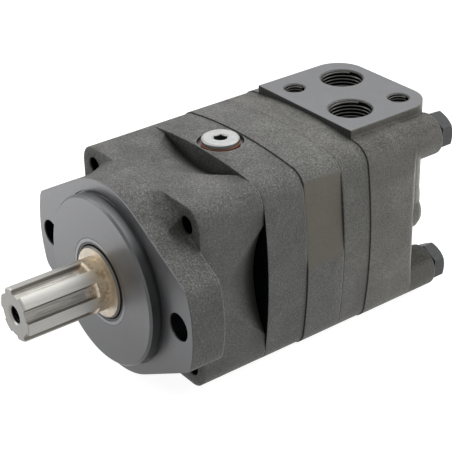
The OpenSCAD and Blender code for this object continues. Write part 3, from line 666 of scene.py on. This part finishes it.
def shaftFinish(name):
    c = shaftSteel
    at = shaftPlaces
    share = shaftShares
    f = Finish(name)
    points = [(v.co.y, math.hypot(v.co.x, v.co.z)) for v in nodes["output_shaft"].data.vertices]
    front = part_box("output_shaft")[0].y
    collar = min(y for y, radius in points if radius > at["collarRadius"])
    wide = max(radius for y, radius in points if y < collar + at["collarWithin"])
    stop = collar + at["grooveEnd"]

    streaks = f.noise(*c["streaks"], c["stretch"])
    patch = 0.5 * (f.noise(*c["cloud"]) + f.noise(*c["specks"]))      # the mean of both
    shade = either(streaks.above(*c["dullSide"]), c["dull"], c["bright"])
    groove = f.radius.below(*at["groove"]) * f.y.below(*past(stop, at["grooveSoft"]))
    groove = groove * f.ny.above(*at["notAhead"])
    flank = f.radius.above(*at["grooveFloor"])
    grooveDark = flank.between(*share["grooveDark"])
    grooveDark = grooveDark + share["streakGrooveDark"] * streaks.above(*share["grooveDarkStreaks"]) * (1 - flank)
    # darker in the grooves, most on their flanks
    shade = either(groove * grooveDark, shade, c["groove"])

    shade = either(share["straw"] * f.y.above(*past(stop, at["strawFrom"])), shade, c["straw"])
    stain = f.y.above(*past(stop, at["stainFrom"])) * f.y.below(*past(collar, at["stainTo"]))
    stain = stain * patch.above(*share["stainSpots"])
    shade = either(share["stain"] * stain, shade, c["stain"])
    brown = f.y.above(*past(stop, at["brownFrom"])) * f.y.below(*past(stop, at["brownTo"]))
    brown = brown * f.radius.below(*at["brown"]) * patch.above(*share["brownSpots"])
    shade = either(share["brown"] * brown, shade, c["brown"])

    disc = f.y.above(*past(collar, at["disc"]))
    cream = patch.above(*share["creamSpots"]).between(*share["cream"])
    shade = either(disc * cream, shade, c["cream"])
    shade = either(disc * f.radius.above(*past(wide, at["rim"])), shade, c["rim"])
    end = f.y.below(*past(front, at["end"]))
    shade = either(end, shade, c["face"])
    # painted shade: near black inside the threaded hole
    hole = f.radius.below(*at["hole"]) * f.y.above(*past(front, at["holeFrom"]))
    shade = either(hole, shade, c["holeShade"])
    return f.use(colour=shade, metallic=1.0,
                 roughness=streaks.between(*c["rough"]) + c["endRough"] * end,
                 normal=f.bump(streaks, c["depth"], f.rounded(c["edgeRadius"])))


# rubber, plastic, black bolts and the zinc-plated plug

moulded = {
    "bloom": (0.8 * mm, 3.0, 0.6),
    "dark": 0.7,
    "addedRough": 0.1,
    "depth": 0.01 * mm,
    "edgeRadius": 0.2 * mm,
}

boltBlack = {
    "dark": (0.026, 0.027, 0.028),
    "light": (0.064, 0.065, 0.067),
    "cloud": (3 * mm, 4.0, 0.6),
    "fine": (0.3 * mm, 2.0, 0.5),
    "rough": (0.36, 0.56),
    "metal": 0.55,
    "depth": 0.01 * mm,
    "edgeRadius": 0.35 * mm,
}

plugZinc = {
    "dark": (0.28, 0.284, 0.28),
    "light": (0.41, 0.414, 0.41),
    # painted shade inside the hex socket
    "holeShade": (0.01, 0.01, 0.01),
    "cloud": (2.5 * mm, 3.0, 0.5),
    "turning": 0.25 * mm,
    "turningDetail": 2.0,
    "socket": (4.1 * mm, 0.1 * mm),
    "socketFrom": (-0.8 * mm, 0.4 * mm),    # from the plug's top
    "socketShare": 0.92,
    "metal": (1.0, 0.5),                # outside and in the socket
    "rough": (0.34, 0.52),
    "depth": 0.004 * mm,
    "edgeRadius": 0.3 * mm,
}


def mouldedPart(name, colour, roughness):
    c = moulded
    f = Finish(name)
    bloom = f.noise(*c["bloom"])
    return f.use(colour=either(bloom, shaded(colour, c["dark"]), colour),
                 roughness=bloom.between(roughness, roughness + c["addedRough"]),
                 normal=f.bump(bloom, c["depth"], f.rounded(c["edgeRadius"])))


def blackOxide(name):
    c = boltBlack
    f = Finish(name)
    cloud = f.noise(*c["cloud"])
    return f.use(colour=either(cloud, c["dark"], c["light"]), metallic=c["metal"],
                 roughness=cloud.between(*c["rough"]),
                 normal=f.bump(f.noise(*c["fine"]), c["depth"], f.rounded(c["edgeRadius"])))


def zincPlate(name):
    c = plugZinc
    f = Finish(name)
    out = fromPlug(f)
    turning = f.base.node("TexNoise", {"noise_dimensions": "1D"},
                          {"W": out, "Scale": 1 / c["turning"], "Detail": c["turningDetail"]})
    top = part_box("drain_plug")[1].z
    socket = out.below(*c["socket"]) * f.z.below(*past(top, c["socketFrom"]))
    shade = either(f.noise(*c["cloud"]), c["dark"], c["light"])
    # painted shade: near black in the hex socket
    shade = either(c["socketShare"] * socket, shade, c["holeShade"])
    return f.use(colour=shade, metallic=socket.between(*c["metal"]), roughness=turning.between(*c["rough"]),
                 normal=f.bump(turning, c["depth"], f.rounded(c["edgeRadius"])))


# one finish for each kind of piece, and the CAD nodes that wear it

frontJoint = (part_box("intermediate_housing")[1].y, allRound(joints["front"]))
middleJoint = (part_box("roller_ring")[1].y, lowDown(joints["middle"]))
rearJoint = (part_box("channel_plate")[1].y, allRound(joints["rear"]))
finishes = {
    "front": castSkin("frontIron", frontMask, shadowBlack=holesMask, shadeMask=frontShadeMask),
    "middle": castSkin("middleIron", spotMask, [frontJoint], jointShadeMask),
    # the tints lighten the ring, the plate and most of all the rear housing: painted light
    "ring": castSkin("ringIron", None, [frontJoint, middleJoint], label=labelMask, paintedLightTint=(1.1, 1.1, 1.08)),
    "plate": castSkin("plateIron", None, [middleJoint, rearJoint], paintedLightTint=(1.12, 1.11, 1.08),
                      shadeMask=plateShadeMask),
    "rear": castSkin("rearIron", padMask, [rearJoint], portShadeMask, paintedLightTint=(1.26, 1.23, 1.15),
                     shadeMask=rearShadeMask, cutLightLift=machinedIron["padLightLift"]),
    "thread": turnedSteel("threadIron", (0.13, 0.128, 0.122), 0.4),
    "sealCase": turnedSteel("sealCaseSteel", (0.20, 0.202, 0.208), 0.4, outside=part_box("seal_case")[1].x),
    "rubber": mouldedPart("sealRubber", (0.02, 0.02, 0.021), 0.42),
    "shaft": shaftFinish("shaftSteel"),
    "plug": zincPlate("plugZinc"),
    "washer": turnedSteel("washerCopper", (0.34, 0.125, 0.07), 0.5, ring=turnedFace["washerRing"]),
    "bolts": blackOxide("boltBlack"),
    "inner": turnedSteel("innerSteel", (0.5, 0.51, 0.52), 0.3),
    "cage": mouldedPart("cagePlastic", (0.3, 0.28, 0.22), 0.5),
    "backup": mouldedPart("backupPlastic", (0.62, 0.6, 0.54), 0.55),
}
dressed = {                         # all other nodes are inner steel
    "front": ["front_housing"],
    "middle": ["intermediate_housing"],
    "ring": ["roller_ring"],
    "plate": ["channel_plate"],
    "rear": ["valve_housing"],
    "sealCase": ["seal_case"],
    "rubber": ["dust_seal", "shaft_seal", "balance_front_seal", "balance_rear_seal",
               "section_seal_1", "section_seal_2", "section_seal_3", "section_seal_4"],
    "shaft": ["output_shaft"],
    "plug": ["drain_plug"],
    "washer": ["drain_washer"],
    "bolts": ["tie_bolts"],
    "cage": ["front_bearing_cage", "rear_bearing_cage"],
    "backup": ["seal_backup_ring"],
}
smoothing = {
    "weld": 0.002 * mm,
    "angle": 28,                    # sharper edges stay sharp
    "weight": 100,
}


def smoothNode(piece):
    piece.data.polygons.foreach_set("use_smooth", [True] * len(piece.data.polygons))
    weld = piece.modifiers.new("weld", "WELD")
    weld.merge_threshold = smoothing["weld"]
    split = piece.modifiers.new("edges", "EDGE_SPLIT")
    split.split_angle = math.radians(smoothing["angle"])
    even = piece.modifiers.new("normals", "WEIGHTED_NORMAL")
    even.weight = smoothing["weight"]


def dressNodes():
    finishOf = {node: name for name, group in dressed.items() for node in group}
    for name, piece in nodes.items():
        piece.data.materials.clear()
        piece.data.materials.append(finishes[finishOf.get(name, "inner")])
        smoothNode(piece)


dressNodes()
print("CAD nodes dressed")


# cut threads in the ports, the manifold screw holes and the shaft's end

threads = {                         # in millimetres, as the mounts are
    "port_a": {"pitch": 1.814, "depth": 1.16, "finish": "thread", "body": "motor_body"},
    "port_b": {"pitch": 1.814, "depth": 1.16, "finish": "thread", "body": "motor_body"},
    "manifold_screw_1": {"pitch": 1.5, "depth": 0.9, "finish": "thread", "body": "motor_body"},
    "manifold_screw_2": {"pitch": 1.5, "depth": 0.9, "finish": "thread", "body": "motor_body"},
    "shaft_end_thread": {"pitch": 1.25, "depth": 0.75, "finish": "shaft", "body": "shaft"},
}
threadRidge = {
    "steps": 48,                    # in one turn
    "sunk": 0.05 * mm,              # how deep the ridge's foot stands in the wall
    "foot": 0.46,                   # half widths of the ridge, counted in pitches
    "crest": 0.07,
    "clear": 0.6,                   # pitches without a thread, at each end of the hole
}


def makeTree(name, sizes):
    tree = bpy.data.node_groups.new(name, "GeometryNodeTree")
    for label in sizes:
        tree.interface.new_socket(label, in_out="INPUT", socket_type="NodeSocketFloat")
    tree.interface.new_socket("Material", in_out="INPUT", socket_type="NodeSocketMaterial")
    tree.interface.new_socket("Geometry", in_out="OUTPUT", socket_type="NodeSocketGeometry")
    return tree


def threadTree():                               # a ridge with sloping flanks, wound on the wall of a hole
    tree = makeTree("threadRidge", ["Radius", "Length", "Pitch", "Depth"])
    add = tree.nodes.new
    link = tree.links.new
    given = add("NodeGroupInput")

    def maths(operation, first, second):
        made = add("ShaderNodeMath")
        made.operation = operation
        for k, value in enumerate((first, second)):
            if isinstance(value, (int, float)):
                made.inputs[k].default_value = value
            else:
                link(value, made.inputs[k])
        return made.outputs["Value"]

    spiral = add("GeometryNodeCurveSpiral")
    spiral.inputs["Resolution"].default_value = threadRidge["steps"]
    link(maths("DIVIDE", given.outputs["Length"], given.outputs["Pitch"]), spiral.inputs["Rotations"])
    link(given.outputs["Radius"], spiral.inputs["Start Radius"])
    link(given.outputs["Radius"], spiral.inputs["End Radius"])
    link(given.outputs["Length"], spiral.inputs["Height"])
    ridge = add("GeometryNodeCurvePrimitiveQuadrilateral")
    ridge.mode = "POINTS"
    inward = maths("MULTIPLY", given.outputs["Depth"], -1)
    foot, crest = threadRidge["foot"], threadRidge["crest"]
    for k, (onCrest, along) in enumerate([(False, -foot), (True, -crest), (True, crest), (False, foot)]):
        point = add("ShaderNodeCombineXYZ")
        if onCrest:
            link(inward, point.inputs["X"])
        else:
            point.inputs["X"].default_value = threadRidge["sunk"]
        link(maths("MULTIPLY", given.outputs["Pitch"], along), point.inputs["Y"])
        link(point.outputs["Vector"], ridge.inputs[f"Point {k + 1}"])
    sweep = add("GeometryNodeCurveToMesh")
    sweep.inputs["Fill Caps"].default_value = True
    link(spiral.outputs["Curve"], sweep.inputs["Curve"])
    link(ridge.outputs["Curve"], sweep.inputs["Profile Curve"])
    realize = add("GeometryNodeRealizeInstances")
    paint = add("GeometryNodeSetMaterial")
    end = add("NodeGroupOutput")
    link(sweep.outputs["Mesh"], realize.inputs["Geometry"])
    link(realize.outputs["Geometry"], paint.inputs["Geometry"])
    link(given.outputs["Material"], paint.inputs["Material"])
    link(paint.outputs["Geometry"], end.inputs["Geometry"])
    return tree


def growMesh(name, tree, values):               # runs a node tree once and keeps its mesh
    holder = bpy.data.objects.new(name, bpy.data.meshes.new(name))
    scene.collection.objects.link(holder)
    modifier = holder.modifiers.new("grow", "NODES")
    modifier.node_group = tree
    sockets = {s.name: s.identifier for s in tree.interface.items_tree if s.in_out == "INPUT"}
    for label, value in values.items():
        modifier[sockets[label]] = value
    bpy.context.view_layer.update()
    grown = holder.evaluated_get(bpy.context.evaluated_depsgraph_get())
    mesh = bpy.data.meshes.new_from_object(grown)
    holder.modifiers.remove(modifier)
    holder.data = mesh
    return holder


def cutThreads():
    tree = threadTree()
    for name, thread in threads.items():
        mount = mounts[name]
        clear = threadRidge["clear"] * thread["pitch"] * mm
        length = mount["dims"]["length_mm"] * mm - 2 * clear
        piece = growMesh(name + "_threadform", tree, {
            "Radius": mount["dims"]["r_mm"] * mm,
            "Length": length,
            "Pitch": thread["pitch"] * mm,
            "Depth": thread["depth"] * mm,
            "Material": finishes[thread["finish"]],
        })
        outward = Vector(mount["axis"])
        start = Vector(mount["pos_m"]) - outward * (length + clear)
        turn = outward.to_track_quat("Z", "Y").to_matrix().to_4x4()
        piece.data.transform(Matrix.Translation(start) @ turn)
        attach(piece, thread["body"])


cutThreads()
print("threads cut")


# studio: lamps, a white background and a pale floor

lamps = {
    "key": {"at": (-0.75, -0.6, 0.45), "size": 0.5, "power": 3.0},
    "glint": {"at": (-0.8, -0.51, -0.33), "size": 0.32, "power": 0.95},
    "rear": {"at": (0.42, 0.64, 0.28), "size": 0.6, "power": 2.3},
    "top": {"at": (-0.19, 0.35, 0.69), "size": 0.8, "power": 4.1},
    "rim": {"at": (0.1, 1.1, -0.45), "size": 0.5, "power": 4.0},
}
sky = {
    "shown": (1.0, 1.0, 1.0),       # what the camera sees behind the motor, and what metal reflects
    "light": [(0.0, 0.9), (0.15, 0.78), (0.27, 0.4), (0.46, 0.1),      # from straight below to straight up
              (0.56, 0.1), (0.75, 0.35), (1.0, 0.55)],
}
floor = {
    "half": 4.0,
    "colour": (0.35, 0.35, 0.35),
    "glow": (1.0, 1.0, 1.0),
    "glowing": 0.91,                # lifts the floor to the photograph's white, short of the shadow
}


def placeLamps():
    target = (cadBox[0] + cadBox[1]) / 2
    for name, lamp in lamps.items():
        data = bpy.data.lights.new(name, "AREA")
        data.size = lamp["size"]
        data.energy = lamp["power"]
        light = bpy.data.objects.new(name, data)
        scene.collection.objects.link(light)
        light.location = Vector(lamp["at"])
        light.rotation_mode = "QUATERNION"
        light.rotation_quaternion = (target - light.location).to_track_quat("-Z", "Y")


def placeFloor():
    half = floor["half"]
    low = cadBox[0].z
    corners = [(-half, -half, low), (half, -half, low), (half, half, low), (-half, half, low)]
    mesh = bpy.data.meshes.new("floor")
    mesh.from_pydata(corners, [], [(0, 1, 2, 3)])
    ground = bpy.data.objects.new("floor", mesh)
    scene.collection.objects.link(ground)
    f = Finish("floorPaper")
    below = f.base.node("NewGeometry", out="Backfacing")        # a view from below looks through the floor
    mesh.materials.append(f.use(colour=floor["colour"], roughness=1.0, specular=0.0, alpha=1 - below,
                                glow=floor["glow"], glowing=floor["glowing"]))
    ground.visible_shadow = False               # the low lamps shine through it
    ground.visible_diffuse = False
    ground.visible_glossy = False
    ground.visible_transmission = False


def placeSky():
    world = bpy.data.worlds.new("studio")
    scene.world = world
    world.use_nodes = True
    wire = Wire(world.node_tree)
    heading = wire.node("SeparateXYZ", None, {"Vector": wire.node("TexCoord", out="Generated")}, "Z")
    stops = [(place, (level, level, level)) for place, level in sky["light"]]
    light = wire.node("ValToRGB", {"stops": stops}, {0: heading.between(0.5, 1.0)})
    rays = ("Is Camera Ray", "Is Glossy Ray", "Is Transmission Ray")
    seen = sum(wire.node("LightPath", out=ray) for ray in rays)
    shown = either(seen, light, sky["shown"])
    background = world.node_tree.nodes["Background"]
    world.node_tree.links.new(shown.socket, background.inputs["Color"])


placeLamps()
placeFloor()
placeSky()
scene.view_settings.view_transform = "Standard"
print("studio built")
